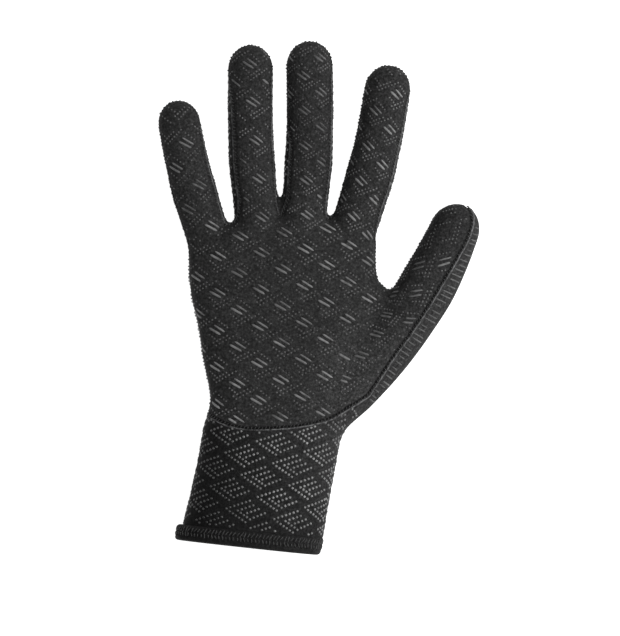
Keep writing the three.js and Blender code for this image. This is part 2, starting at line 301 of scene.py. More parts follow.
def body_part():
    rows = []
    for along, width, depth in CUFF_ROWS:
        y, x = -PALM_LENGTH / 2 - CUFF_LENGTH * along, CUFF_SHIFT + CUFF_LEAN * along
        half = depth * CUFF_DEPTH / 2
        rows.append((y, x, width * CUFF_WIDTH / 2, half, half - REST_SINK, CUFF_TILT * along))
    for along, left, right, depth, rise in PALM_ROWS:
        y, x = (along - 0.5) * PALM_LENGTH, (left + right) / 2 * PALM_WIDTH
        half = depth * PALM_DEPTH / 2
        rows.append((y, x, (right - left) / 2 * PALM_WIDTH, half, half - REST_SINK + rise * PALM_DEPTH, 0.0))
    table = np.array(rows)
    part = Part()
    part.name, part.squareness = "body", BODY_SQUARENESS
    part.s = np.linspace(table[0, 0], table[-1, 0], BODY_STEPS)
    names = ("x", "half_width", "half_depth", "z", "tilt")
    part.columns = {n: smooth_line(table[:, 0], table[:, i + 1])(part.s) for i, n in enumerate(names)}
    straight = np.zeros(BODY_STEPS)
    part.columns.update(y=part.s, heading=straight, share=np.ones(BODY_STEPS))
    part.tip_start, part.tip_length = FAR, 1.0
    line = (part.columns["x"], part.s, straight)
    part.flat = {True: line, False: line}
    return part


def finger_part(row, is_thumb):
    name, length, width, tip_width, depth, lift, root_across, root_along, heading, turn = row
    part = Part()
    part.name, part.squareness = name, FINGER_SQUARENESS
    part.length = length * (THUMB_LENGTH if is_thumb else FINGER_LENGTH)
    full_width = THUMB_WIDTH if is_thumb else FINGER_WIDTH
    width, tip_width = width * full_width, tip_width * full_width
    depth *= THUMB_DEPTH if is_thumb else FINGER_DEPTH
    lift *= THUMB_LIFT if is_thumb else FINGER_LIFT
    rows = np.array(THUMB_ROWS if is_thumb else FINGER_ROWS)
    part.tip_length = TIP_LENGTH_SHARE * tip_width / part.length
    part.tip_start = 1 - part.tip_length
    body_s = np.linspace(0, part.tip_start, FINGER_STEPS)
    angle = np.linspace(0, math.pi / 2, TIP_STEPS)[1:]
    s = np.concatenate([body_s, part.tip_start + part.tip_length * np.sin(angle)])
    share = np.concatenate([np.ones(FINGER_STEPS), np.maximum(np.cos(angle), 0.03)])
    bend = s if is_thumb else smoothstep(s, 0.25, 0.85)
    head = np.radians(heading + turn * bend)
    half_depth = smooth_line(rows[:, 0], rows[:, 2])(s) * depth / 2
    half_width = (width + (tip_width - width) * s) * smooth_line(rows[:, 0], rows[:, 1])(s) / 2

    def walk(angles):
        """Plan places of a line that starts at the root and follows these headings."""
        middle = (angles[1:] + angles[:-1]) / 2
        step = np.diff(s) * part.length
        x = np.concatenate([[0], np.cumsum(np.sin(middle) * step)]) + root_across * PALM_WIDTH
        y = np.concatenate([[0], np.cumsum(np.cos(middle) * step)]) + (root_along - 0.5) * PALM_LENGTH
        return x, y

    x, y = walk(head)
    sink = REST_SINK if is_thumb else REST_SINK / 2
    part.s = s
    part.columns = {
        "x": x,
        "y": y,
        "z": half_depth - sink + lift * s**2,
        "heading": head,
        "half_width": half_width,
        "half_depth": half_depth,
        "share": share,
        "tilt": -np.degrees(head),
    }
    part.flat = {True: (x, y, head), False: (x, y, head)}
    if is_thumb:
        rows = np.array(THUMB_PRINT_ROWS)
        turned, right, up = (smooth_line(rows[:, 0], rows[:, k])(s) for k in (1, 2, 3))
        flat_x, flat_y = walk(head + np.radians(turned))
        part.flat[True] = (flat_x - right, flat_y - up, head + np.radians(turned))
    return part


BODY = body_part()
DIGITS = [finger_part(row, False) for row in FINGERS] + [finger_part(THUMB, True)]
THUMB_PART = DIGITS[-1]
PARTS = [BODY, *DIGITS]
THUMB_INDEX = PARTS.index(THUMB_PART)


def section(angle, squareness, half_sizes, middle, tilt):
    """Points at angles round a cross-section, which tilt turns in plan."""
    half_width, half_depth = half_sizes
    x, y, z = middle
    across = signed_power(np.cos(angle), 2 / squareness) * half_width
    up = signed_power(np.sin(angle), 2 / squareness) * half_depth
    return np.stack([x + across * np.cos(tilt), y + across * np.sin(tilt), z + up], axis=-1)


def rings_of(part, sides):
    """Rings of points round a part, root first."""
    angle = 2 * np.pi * np.arange(sides) / sides
    c = {name: column[:, None] for name, column in part.columns.items()}
    half_sizes = c["half_width"] * c["share"], c["half_depth"] * c["share"]
    return section(angle, part.squareness, half_sizes, (c["x"], c["y"], c["z"]), np.radians(c["tilt"]))


def loft(rings):
    """Vertices and faces of a closed tube through rings of points."""
    count, sides = rings.shape[:2]
    faces = []
    for r in range(count - 1):
        for i in range(sides):
            a, b = r * sides + i, r * sides + (i + 1) % sides
            faces.append((a, a + sides, b + sides, b))
    faces.append(tuple(range(sides)))
    faces.append(tuple(reversed(range((count - 1) * sides, count * sides))))
    return rings.reshape(-1, 3), faces


def voxel_union(bodies):
    """One skin round all the bodies, as vertices and triangles."""
    verts, faces, start = [], [], 0
    for v, f in bodies:
        verts.append(v)
        faces.extend(tuple(start + i for i in face) for face in f)
        start += len(v)
    mesh = bpy.data.meshes.new("joined")
    mesh.from_pydata(np.vstack(verts).tolist(), [], faces)
    thing = new_object("joined", mesh)
    remesh = thing.modifiers.new("skin", "REMESH")
    remesh.mode = "VOXEL"
    remesh.voxel_size = VOXEL
    remesh.adaptivity = 0.0
    skin = thing.evaluated_get(bpy.context.evaluated_depsgraph_get()).to_mesh()
    skin.calc_loop_triangles()
    points = np.zeros(len(skin.vertices) * 3, np.float32)
    skin.vertices.foreach_get("co", points)
    tris = np.zeros(len(skin.loop_triangles) * 3, np.int32)
    skin.loop_triangles.foreach_get("vertices", tris)
    bpy.data.objects.remove(thing)
    bpy.data.meshes.remove(mesh)
    return points.reshape(-1, 3).astype(float), tris.reshape(-1, 3).astype(np.int64)


def sides_of(tris):
    """The sides of triangles, as pairs of vertex numbers in their own order."""
    return np.vstack([tris[:, [0, 1]], tris[:, [1, 2]], tris[:, [2, 0]]])


def mean_of_neighbours(points, edges, count):
    out = np.empty_like(points)
    for k in range(points.shape[1]):
        out[:, k] = np.bincount(edges[:, 0], points[edges[:, 1], k], len(points))
        out[:, k] += np.bincount(edges[:, 1], points[edges[:, 0], k], len(points))
    return out / count[:, None]


def relax(points, tris, weight, rounds, shrink, grow):
    """Smooths a skin; a round is a step in by shrink and a step out by grow, both scaled by weight."""
    edges = np.unique(np.sort(sides_of(tris), axis=1), axis=0)
    count = np.maximum(np.bincount(edges.ravel(), minlength=len(points)), 1)
    points = points.copy()
    for _ in range(rounds):
        for factor in (shrink, grow):
            if factor:
                points += (factor * weight)[:, None] * (mean_of_neighbours(points, edges, count) - points)
    return points


def normals_of(points, tris):
    a, b, c = (points[tris[:, k]] for k in range(3))
    face = np.cross(b - a, c - a)
    out = np.zeros_like(points)
    for k in range(3):
        for axis in range(3):
            out[:, axis] += np.bincount(tris[:, k], face[:, axis], len(points))
    return unit(out)


def place_on(part, points):
    """How points lie to a part: share along, distance across, height over it, and its sizes there."""
    if part is BODY:
        s = np.clip(points[:, 1], part.s[0], part.s[-1])
        here = part.at(s)
        across = points[:, 0] - here["x"]
        beyond = np.abs(points[:, 1] - s)
    else:
        line = np.stack([part.columns["x"], part.columns["y"]], axis=1)
        best = np.full(len(points), FAR)
        s, across, beyond = np.zeros((3, len(points)))
        for i, (a, b) in enumerate(zip(line[:-1], line[1:])):
            ab = b - a
            length = math.sqrt(ab @ ab)
            t_free = ((points[:, :2] - a) @ ab) / (ab @ ab)
            t = np.clip(t_free, 0, 1)
            distance = ((points[:, :2] - a - t[:, None] * ab) ** 2).sum(1)
            near = distance < best
            best[near] = distance[near]
            s[near] = part.s[i] + t[near] * (part.s[i + 1] - part.s[i])
            side = (points[:, 0] - a[0]) * ab[1] - (points[:, 1] - a[1]) * ab[0]
            across[near] = side[near] / length
            beyond[near] = np.maximum(-t_free[near], 0) * length if i == 0 else 0
        here = part.at(s)
    height = points[:, 2] - here["z"]
    n = part.squareness
    wide, tall = np.abs(across / here["half_width"]), np.abs(height / here["half_depth"])
    flat_radius = (wide**n + tall**n) ** (1 / n)
    cap = np.clip((s - part.tip_start) / part.tip_length, 0, 1)
    radius = np.sqrt(flat_radius**2 + cap**2)
    off = np.abs(radius - 1) * np.minimum(here["half_width"], here["half_depth"]) + beyond
    return {"s": s, "across": across, "height": height, "radius": flat_radius, "off": off, **here}


def skin_form():
    """The whole outer skin, smooth, with soft webs where fingers join the palm."""
    bodies = [loft(rings_of(BODY, BODY_SIDES))] + [loft(rings_of(p, FINGER_SIDES)) for p in DIGITS]
    points, tris = voxel_union(bodies)
    everywhere = np.ones(len(points))
    points = relax(points, tris, everywhere, FIRST_ROUNDS, STEP_IN, STEP_OUT)
    off = np.sort(np.stack([place_on(p, points)["off"] for p in PARTS]), axis=0)[1]
    web = 1 - smoothstep(off, 1.5, 6.0)
    points = relax(points, tris, web, WEB_ROUNDS, STEP_IN, 0)
    heel, thumb = place_on(BODY, points)["off"], place_on(THUMB_PART, points)["off"]
    facing = smoothstep(normals_of(points, tris)[:, 2], 0.1, 0.5)
    crease = (1 - smoothstep(np.maximum(heel, thumb), 4.0, 16.0)) * facing
    points = relax(points, tris, crease, CREASE_ROUNDS, STEP_IN, 0)
    corner = 1 - smoothstep(np.linalg.norm(points[:, :2] - OUTER_CORNER, axis=1), 5, 20)
    points = relax(points, tris, corner, CORNER_ROUNDS, STEP_IN, 0)
    points = relax(points, tris, everywhere, LAST_ROUNDS, STEP_IN, STEP_OUT)
    points[:, 2] = np.maximum(points[:, 2], FLOOR_GAP)
    return points, tris


# Seams


def seam_plan():
    """The wrist and thumb seam in plan, as a closed outline of the palm side."""
    wrist = [(a * PALM_WIDTH, (b - 0.5) * PALM_LENGTH) for a, b in WRIST_SEAM_ROWS]
    thumb = []
    for along, side in THUMB_SEAM_ROWS:
        here = THUMB_PART.at(min(along, 1.0))
        full = THUMB_PART.at(min(along, THUMB_PART.tip_start))
        over = max(along - 1.0, 0) * THUMB_PART.length
        x = here["x"] + over * math.sin(here["heading"])
        y = here["y"] + over * math.cos(here["heading"])
        out = side * full["half_width"]
        thumb.append((x + out * math.cos(here["heading"]), y - out * math.sin(here["heading"])))
    curve = spline(wrist + thumb, 140)
    return np.vstack([(-OUTSIDE, curve[0][1]), *curve, (curve[-1][0], OUTSIDE), (-OUTSIDE, OUTSIDE)])


def seam_field(points):
    """How far a point lies on the palm's side of the seams, in mm; under zero is the back's side. Also 1
    where the nearest seam is the wrist or thumb seam, which gets a deeper valley and a stronger painted
    shade, and 0 along the fingers."""
    outline = seam_plan()
    best = np.full(len(points), FAR)
    inside = np.zeros(len(points), bool)
    px, py = points[:, 0], points[:, 1]
    for i, a in enumerate(outline):
        b = outline[(i + 1) % len(outline)]
        ab = b - a
        if i < len(outline) - 2:
            t = np.clip(((px - a[0]) * ab[0] + (py - a[1]) * ab[1]) / (ab @ ab), 0, 1)
            best = np.minimum(best, np.hypot(px - a[0] - t * ab[0], py - a[1] - t * ab[1]))
        if a[1] != b[1]:
            crosses = (a[1] > py) != (b[1] > py)
            inside ^= crosses & (px < a[0] + (py - a[1]) / (b[1] - a[1]) * ab[0])
    plan = np.where(inside, best, -best)
    reach = FINGER_ROOT * PALM_LENGTH + FINGER_LENGTH
    rows = np.array(SIDE_SEAM_ROWS)
    level = smooth_line(rows[:, 0] * reach - PALM_LENGTH / 2, rows[:, 1] * PALM_DEPTH)(py)
    for name, side, rise, begin, full, end, gone in SEAM_RISES:
        part = next(p for p in DIGITS if p.name == name)
        on = place_on(part, points)
        along = smoothstep(on["s"], begin, full) * (1 - smoothstep(on["s"], end, gone))
        across = smoothstep(side * on["across"] / on["half_width"], 0.2, 0.62)
        close = 1 - smoothstep(on["off"], 1.0, 3.0)
        level = level + rise * along * across * close
    side = points[:, 2] - level
    return np.minimum(plan, side), smoothstep(side - plan, -0.6, 0.6)


def cut(data, tris, level):
    """Cuts triangles where level crosses zero. data holds one row a vertex; new rows are blends of two."""
    least = 0.1
    level = np.where(np.abs(level) < least, np.where(level < 0, -least, least), level)
    above = level > 0
    count = above[tris].sum(1)
    kept_above, kept_below = tris[count == 3], tris[count == 0]
    mixed = tris[(count == 1) | (count == 2)]
    alone_above = above[mixed].sum(1) == 1
    alone = np.where(alone_above[:, None], above[mixed], ~above[mixed]).argmax(1)
    a, b, c = (mixed[np.arange(len(mixed)), (alone + k) % 3] for k in range(3))
    keys = np.stack([np.sort(np.stack([a, o], 1), axis=1) for o in (b, c)])
    pairs, at = np.unique(keys.reshape(-1, 2), axis=0, return_inverse=True)
    at = at.reshape(2, -1) + len(data)
    p, q = pairs[:, 0], pairs[:, 1]
    t = (level[p] / (level[p] - level[q]))[:, None]
    data = np.vstack([data, data[p] * (1 - t) + data[q] * t])
    ab, ac = at
    tip = np.stack([a, ab, ac], 1)
    rest = np.vstack([np.stack([ab, b, c], 1), np.stack([ab, c, ac], 1)])
    rest_above = np.concatenate([~alone_above, ~alone_above])
    up = np.vstack([kept_above, tip[alone_above], rest[rest_above]])
    down = np.vstack([kept_below, tip[~alone_above], rest[~rest_above]])
    return data, up, down, np.stack([ab, ac], 1)


def chains(segments):
    """Links cut edges into lines of vertex numbers."""
    near = {}
    for a, b in segments.tolist():
        near.setdefault(a, []).append(b)
        near.setdefault(b, []).append(a)
    lines, seen = [], set()
    starts = [v for v in near if len(near[v]) == 1] + list(near)
    for start in starts:
        if start in seen:
            continue
        line, here = [start], start
        seen.add(start)
        while True:
            onward = [v for v in near[here] if v not in seen]
            if not onward:
                break
            here = onward[0]
            seen.add(here)
            line.append(here)
        if start in near[here] and len(line) > 2:
            line.append(start)
        lines.append(line)
    return lines


def resample(path, pitch):
    """Points at an even pitch along a path, with its columns blended."""
    step = np.linalg.norm(np.diff(path[:, :3], axis=0), axis=1)
    along = np.concatenate([[0], np.cumsum(step)])
    count = max(int(along[-1] / pitch), 2)
    at = np.linspace(0, along[-1], count, endpoint=False)
    return np.stack([np.interp(at, along, path[:, k]) for k in range(path.shape[1])], axis=1)


def painted_shade_and_highlight_at(points):
    """Painted shade and a painted highlight on the back's cloth: painted shade darkest low on the cuff's
    left, a painted highlight on the thumb's strip.
    """
    on = place_on(BODY, points)
    side = on["across"] / on["half_width"]
    # Painted shade: the cuff darker towards the hem and towards its left
    cuff = (0.7 - 0.34 * down_cuff(points)) * (0.55 + 0.98 * smoothstep(side, -0.9, 0.9))
    hand = smoothstep(points[:, 1], -PALM_LENGTH / 2 - 4, -PALM_LENGTH / 2 + 30)
    tone = cuff + (1 - cuff) * hand
    # Painted highlight: the thumb's outer strip paler
    thumb = place_on(THUMB_PART, points)
    strip = (1 - smoothstep(thumb["off"], 1.5, 5.0)) * smoothstep(thumb["s"], 0.1, 0.25)
    return tone + (1.15 - tone) * strip


def palm_painted_highlight_at(points):
    """Painted highlights on the palm's cloth, at the heel of the thumb."""
    tone = np.ones(len(points))
    for x, y, radius, gain in PAINTED_HIGHLIGHT_PATCHES:
        tone += gain * np.exp(-((points[:, 0] - x) ** 2 + (points[:, 1] - y) ** 2) / radius**2)
    return tone


# Materials


class Nodes:
    """A short way to build a node material."""

    def __init__(self, name, roughness, sheen=0.0, specular=0.5):
        self.material = bpy.data.materials.new(name)
        self.material.use_nodes = True
        self.tree = self.material.node_tree
        self.shader = self.tree.nodes["Principled BSDF"]
        finish = {"Roughness": roughness, "Sheen Weight": sheen, "Sheen Roughness": 0.6}
        finish["Specular IOR Level"] = specular
        for key, value in finish.items():
            self.shader.inputs[key].default_value = value
        self.place = self.tree.nodes.new("ShaderNodeTexCoord").outputs["Object"]

    def feed(self, socket, value):
        if isinstance(value, bpy.types.NodeSocket):
            self.tree.links.new(value, socket)
        else:
            socket.default_value = value

    def node(self, kind, inputs=None, **settings):
        made = self.tree.nodes.new(kind)
        for key, value in settings.items():
            setattr(made, key, value)
        for key, value in (inputs or {}).items():
            self.feed(made.inputs[key], value)
        return made

    def attribute(self, name, output="Fac"):
        return self.node("ShaderNodeAttribute", attribute_name=name).outputs[output]

    def noise(self, scale, detail=3.0, roughness=0.6):
        inputs = {"Vector": self.place, "Scale": scale, "Detail": detail, "Roughness": roughness}
        return self.node("ShaderNodeTexNoise", inputs).outputs["Fac"]

    def math(self, operation, a, b=0.0, c=0.0, clamp=False):
        made = self.node("ShaderNodeMath", {0: a, 1: b, 2: c}, operation=operation, use_clamp=clamp)
        return made.outputs[0]

    def band(self, value, width):
        """1 where value is zero, and 0 where it is width or more to either side."""
        share = self.math("ABSOLUTE", self.math("DIVIDE", value, width))
        return self.math("SUBTRACT", 1.0, share, clamp=True)

    def ramp(self, value, stops):
        """Greys by value; each stop is a position and a grey."""
        made = self.node("ShaderNodeValToRGB", {"Fac": value})
        elements = made.color_ramp.elements
        while len(elements) < len(stops):
            elements.new(0.5)
        for element, (at, shade) in zip(elements, stops):
            element.position = at
            element.color = (shade, shade, shade, 1)
        return made.outputs["Color"]

    def mix(self, factor, a, b, blend="MIX"):
        made = self.node("ShaderNodeMix", data_type="RGBA", blend_type=blend)
        for key, value in (("Factor", factor), ("A", a), ("B", b)):
            self.feed(next(s for s in made.inputs if s.name == key and s.enabled), value)
        return next(s for s in made.outputs if s.enabled)

    def colour(self, socket):
        self.tree.links.new(socket, self.shader.inputs["Base Color"])

    def bump(self, height, distance, strength):
        made = self.node("ShaderNodeBump", {"Height": height, "Distance": distance, "Strength": strength})
        self.tree.links.new(made.outputs["Normal"], self.shader.inputs["Normal"])


def grey(value):
    return (value, value, value * 1.02, 1)


def cloth_material(name, base, with_seam):
    """Nylon jersey on neoprene: knit grain, fine speckle, slow wear, and with seams a painted shade in the
    seam valleys and a painted highlight beside them.
    """
    m = Nodes(name, 0.85, specular=0.12)
    speckle = m.noise(760, 3.0, 0.75)
    cloudy = m.ramp(m.noise(38, 4.0, 0.6), [(0.3, 0.72), (0.7, 1.2)])
    wear = m.ramp(m.noise(260, 3.0, 0.7), [(0.35, 0.7), (0.68, 1.3)])
    shade = m.ramp(speckle, [(0.34, base * 0.35), (0.52, base), (0.7, base * 2.2)])
    shade = m.mix(0.5, shade, cloudy, "MULTIPLY")
    shade = m.mix(0.35, shade, wear, "MULTIPLY")
    # The tone attribute holds painted shade and painted highlights
    shade = m.mix(1.0, shade, m.attribute("tone", "Color"), "MULTIPLY")
    if with_seam:
        seam = m.attribute("seam")
        # Painted shade: a broken near-black line in the seam's valley, strongest at the wrist and thumb
        # seams
        away = m.math("ADD", seam, m.math("MULTIPLY_ADD", m.noise(420, 1.0), 1.5, -0.75))
        seam_shade = m.band(m.math("SUBTRACT", away, 0.3), 1.0)
        seam_shade = m.math("MULTIPLY", seam_shade, m.math("MULTIPLY_ADD", m.attribute("seam_shade"), 0.75, 0.2))
        dashes = m.ramp(m.noise(330, 1.0), [(0.38, 0.6), (0.5, 1.0)])
        shade = m.mix(m.math("MULTIPLY", seam_shade, dashes), shade, grey(0.002))
        # Painted highlight: a broken pale line on the ridge beside the seam
        light = m.band(m.math("ADD", seam, m.math("MULTIPLY_ADD", m.noise(230, 1.0), 0.9, 0.5)), 0.5)
        broken = m.ramp(m.noise(520, 2.0, 0.7), [(0.36, 0.1), (0.62, 1.0)])
        shade = m.mix(m.math("MULTIPLY", light, broken), shade, grey(base * 7.5))
    m.colour(shade)
    cells = {"Vector": m.place, "Scale": 1250.0, "Randomness": 0.55}
    knit = m.node("ShaderNodeTexVoronoi", cells, feature="F1").outputs["Distance"]
    m.bump(m.math("ADD", m.math("MULTIPLY", knit, 0.6), m.math("MULTIPLY", speckle, 0.6)), 0.0004, 0.8)
    return m.material


def rubber_material(name, base, roughness, toned=False):
    """Printed silicone: paler than the cloth, with uneven print and some gloss."""
    m = Nodes(name, roughness)
    shade = m.ramp(m.noise(190), [(0.32, base * 0.5), (0.5, base), (0.7, base * 1.5)])
    shade = m.mix(1.0, shade, m.ramp(m.noise(30), [(0.36, 0.5), (0.64, 1.35)]), "MULTIPLY")
    # The tone attribute is painted shade on the back's dots, and each bar's and rib's own brightness
    # elsewhere
    if toned:
        shade = m.mix(1.0, shade, m.attribute("tone", "Color"), "MULTIPLY")
    m.colour(shade)
    m.bump(m.noise(2200, 2.0), 0.00012, 0.5)
    return m.material


def thread_material(name, base):
    """Spun thread: fine twist and uneven shade."""
    m = Nodes(name, 0.6, sheen=0.15, specular=0.35)
    m.colour(m.ramp(m.noise(420, 3.0, 0.7), [(0.34, base * 0.3), (0.66, base * 1.9)]))
    waves = {"Vector": m.place, "Scale": 700.0, "Distortion": 2.0}
    m.bump(m.node("ShaderNodeTexWave", waves).outputs["Fac"], 0.00015, 0.7)
    return m.material


# Meshes

# The distance from the seam that an inner face is given, so that no seam shows on it (mm)
CLEAR_OF_SEAM = 9.0


def add_piece(name, points, faces, material, slot=None, nodes=(), attributes=None):
    """A finished piece: its mesh in the row frame, riding on the root body."""
    mesh = bpy.data.meshes.new(name)
    in_row_frame = (np.asarray(points, float) - (MIDDLE_X, MIDDLE_Y, 0)) / 1000
    mesh.from_pydata(in_row_frame.tolist(), [], np.asarray(faces).tolist())
    for key, values in (attributes or {}).items():
        mesh.attributes.new(key, "FLOAT", "POINT").data.foreach_set("value", np.asarray(values, np.float32))
    mesh.polygons.foreach_set("use_smooth", np.ones(len(mesh.polygons), bool))
    mesh.materials.append(material)
    mesh.update()
    piece = new_object(name, mesh)
    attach(piece, "root")
    for node in nodes:
        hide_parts(node)
    return piece


def cloth_piece(name, points, inward, tris, material, slot, node):
    """A skin of cloth with its inner face and its rims."""
    used, packed = np.unique(tris, return_inverse=True)
    tris = packed.reshape(-1, 3)
    outer = points[used]
    inner = outer - inward[used] * WALL
    inner[:, 2] = np.maximum(inner[:, 2], INNER_FLOOR)
    count = len(used)
    ways = sides_of(tris)
    keys = ways[:, 0] * count + ways[:, 1]
    back = ways[:, 1] * count + ways[:, 0]
    rim = ways[~np.isin(keys, back)]
    b, a = rim.T
    sides = np.vstack([np.stack([a, b, b + count], 1), np.stack([a, b + count, a + count], 1)])
    faces = np.vstack([tris, tris[:, ::-1] + count, sides])
    values = np.concatenate([seam[used], np.full(count, CLEAR_OF_SEAM)])
    # The weight of the seam's painted shade, and the tone: painted shade and a painted highlight on the
    # back's cloth, painted highlights on the palm's
    seam_shade = np.concatenate([main_seam[used], np.zeros(count)])
    tone = np.ones(2 * count)
    tone[:count] = painted_shade_and_highlight_at(outer) if node == "back_panel" else palm_painted_highlight_at(outer)
    looks = {"seam": values, "seam_shade": seam_shade, "tone": tone}
    return add_piece(name, np.vstack([outer, inner]), faces, material, slot, [node], looks)


def threads(centres, across, up, along, half_length, rise, radius, lean=0.0, sides=6):
    """Short arched thread loops, one a centre, laid across a seam."""
    q = np.array([-1.0, -0.72, -0.25, 0.25, 0.72, 1.0])
    thick = np.array([0.35, 0.85, 1.0, 1.0, 0.85, 0.35]) * radius
    n = len(centres)
    uneven = np.random.default_rng(11).uniform(-1, 1, (4, n, 1))
    reach = half_length * (1 + 0.25 * uneven[0]) * q
    lift = rise * (1 + 0.75 * uneven[1]) * (1 - q**2)
    slant = (lean + 0.3 * half_length * uneven[2]) * q + 0.16 * half_length * uneven[3]
    spine = centres[:, None] + across[:, None] * reach[:, :, None]
    spine = spine + up[:, None] * lift[:, :, None] + along[:, None] * slant[:, :, None]
    angle = 2 * np.pi * np.arange(sides) / sides
    ring = along[:, None] * np.cos(angle)[:, None] + up[:, None] * np.sin(angle)[:, None]
    points = spine[:, :, None] + ring[:, None] * thick[None, :, None, None]
    return tubes(points.reshape(n, len(q), sides, 3))


def joined(bodies):
    """The vertices and faces of several bodies, each as one list."""
    verts, faces, start = [], [], 0
    for body_verts, body_faces in bodies:
        verts.append(body_verts)
        faces.append(body_faces + start)
        start += len(body_verts)
    return np.vstack(verts), np.vstack(faces)


def copies(faces, count, size):
    """The faces of count like bodies, each of size vertices."""
    return (np.array(faces)[None] + (np.arange(count) * size)[:, None, None]).reshape(-1, 3)


def tubes(points):
    """Faces of many like tubes; points are tube, ring, side, xyz."""
    n, rings, sides = points.shape[:3]
    one = []
    for r in range(rings - 1):
        for i in range(sides):
            a, b = r * sides + i, r * sides + (i + 1) % sides
            one += [(a, b, b + sides), (a, b + sides, a + sides)]
    for i in range(1, sides - 1):
        one.append((0, i + 1, i))
        top = (rings - 1) * sides
        one.append((top, top + i, top + i + 1))
    return points.reshape(-1, 3), copies(one, n, rings * sides)


def domes(centres, up, radius, height, sides=6):
    """Small raised dots."""
    side = unit(np.cross(up, np.array([0.31, 0.95, 0.07])))
    other = np.cross(up, side)
    angle = 2 * np.pi * np.arange(sides) / sides
    ring = side[:, None] * np.cos(angle)[:, None] + other[:, None] * np.sin(angle)[:, None]
    middle, lift = centres[:, None], up[:, None]
    low = middle + ring * radius - lift * 0.1
    mid = middle + ring * radius * 0.72 + lift * height * 0.72
    top = middle + lift * height
    points = np.concatenate([low, mid, top], axis=1)
    one = []
    for i in range(sides):
        j = (i + 1) % sides
        one += [(i, j, sides + j), (i, sides + j, sides + i), (sides + i, sides + j, 2 * sides)]
    return points.reshape(-1, 3), copies(one, len(centres), 2 * sides + 1)


# Cloth

# What a row of data holds: a skin point, its smooth normal, then the columns named here
SEAM_COLUMN = 6
MOUTH_COLUMN = 7
# The weight of the wrist and thumb seams, for a deeper valley and a stronger painted shade
MAIN_SEAM_COLUMN = 8
# Lines beside the seam that the skin is cut along, so that the seam's valley has even edges (mm)
SEAM_LINES = (-1.9, -1.2, -0.75, -0.3, 0.4, 0.9, 1.6)
# How light the cloths are, as linear greys
CLOTH_GREY = 0.0205
HEM_GREY = 0.011

points, tris = skin_form()
seam, main_seam = seam_field(points)
looks = np.stack([seam, above_mouth(points, 1.1), main_seam], axis=1)
data = np.hstack([points, normals_of(points, tris), looks])
data, tris, _, _ = cut(data, tris, data[:, MOUTH_COLUMN])
for line in SEAM_LINES:
    data, upper, lower, _ = cut(data, tris, data[:, SEAM_COLUMN] - line)
    tris = np.vstack([upper, lower])
data, palm_tris, back_tris, seam_edges = cut(data, tris, data[:, SEAM_COLUMN])
seam, main_seam = data[:, SEAM_COLUMN], data[:, MAIN_SEAM_COLUMN]
skin_up = unit(data[:, 3:6])
valley = -0.6 * np.exp(-(((seam - 0.2) / 0.55) ** 2)) + 0.35 * np.exp(-(((seam + 0.85) / 0.45) ** 2))
valley *= 0.4 + 0.6 * main_seam
outer = data[:, :3] + skin_up * valley[:, None]
outer[:, 2] = np.maximum(outer[:, 2], FLOOR_GAP)
all_tris = np.vstack([palm_tris, back_tris])

palm_cloth = cloth_material("palm_cloth_look", CLOTH_GREY, True)
back_cloth = cloth_material("back_cloth_look", CLOTH_GREY, True)
hem_cloth = cloth_material("hem_cloth_look", HEM_GREY, False)
cloth_piece("palm_cloth", outer, skin_up, palm_tris, palm_cloth, "palm_cloth", "palm_panel")
cloth_piece("back_cloth", outer, skin_up, back_tris, back_cloth, "back_cloth", "back_panel")

# Seam stitches

# Their pitch, and the lowest that the middle of one lies (mm)
STITCH_PITCH = 1.85
LOWEST_STITCH = 1.0
# The fewest points of a cut line that is sewn
SHORTEST_SEAM = 60
# Stitches whose up rises more steeply than this lie on top, the others on the side
ON_TOP = 0.72

loops = []
for line in chains(seam_edges):
    if len(line) > SHORTEST_SEAM:
        path = np.hstack([data[line, :3], skin_up[line]])
        for _ in range(3):
            path[1:-1] = (path[:-2] + 2 * path[1:-1] + path[2:]) / 4
        loops.append(resample(path, STITCH_PITCH))
centres, up = np.vstack(loops)[:, :3], unit(np.vstack(loops)[:, 3:])
along = unit(np.vstack([np.roll(p[:, :3], -1, axis=0) - np.roll(p[:, :3], 1, axis=0) for p in loops]))
across = unit(np.cross(up, along))
high = centres[:, 2] > LOWEST_STITCH
seam_thread = thread_material("seam_thread_look", 0.008)
# Each kind: the stitches it takes, then half length, rise, radius and lean (mm)
for name, chosen, sizes in (
    ("seam_stitches", high & (up[:, 2] > ON_TOP), (0.75, 0.34, 0.22, 0.3)),
    ("side_stitches", high & (up[:, 2] <= ON_TOP), (1.05, 0.36, 0.27, 0.5)),
):
    verts, faces = threads((centres - up * 0.1)[chosen], across[chosen], up[chosen], along[chosen], *sizes)
    add_piece(name, verts, faces, seam_thread)


# Hem

HEM_RIBS = 100
HEM_STEPS = 600
# The hem's threads: their pitch, how proud of the cuff they lie, and the lowest of them (mm)
HEM_THREAD_PITCH = 1.9
HEM_THREAD_RISE = 1.75
LOWEST_HEM_THREAD = 1.2
# mm along from the hem's start, mm proud of the cuff, rib height
HEM_PROFILE = [
    (0.4, -0.2, 0.0),
    (0.0, 0.3, 0.0),
    (0.05, 0.9, 0.04),
    (0.45, 1.35, 0.08),
    (1.1, 1.6, 0.14),
    (2.0, 1.7, 0.16),
    (3.0, 1.62, 0.1),
    (3.5, 1.5, 0.06),
    (4.0, 1.62, 0.1),
    (5.0, 1.7, 0.16),
    (5.9, 1.6, 0.1),
    (6.3, 1.5, 0.02),
    (6.9, 1.62, 0.0),
    (7.6, 1.4, 0.0),
    (8.2, 0.9, 0.0),
    (8.55, 0.1, 0.0),
    (8.6, -0.45, 0.0),
    (8.5, -1.4, 0.0),
    (8.0, -2.2, 0.0),
    (6.0, -2.5, 0.0),
    (2.0, -2.5, 0.0),
    (-1.0, -2.5, 0.0),
    (-1.0, -2.2, 0.0),
]
# Its two rows of slanting thread, like a knitted edge: where each starts and ends, its lean (mm)
HEM_THREAD_ROWS = [(0.9, 3.4, 0.5), (3.7, 5.6, -0.35)]


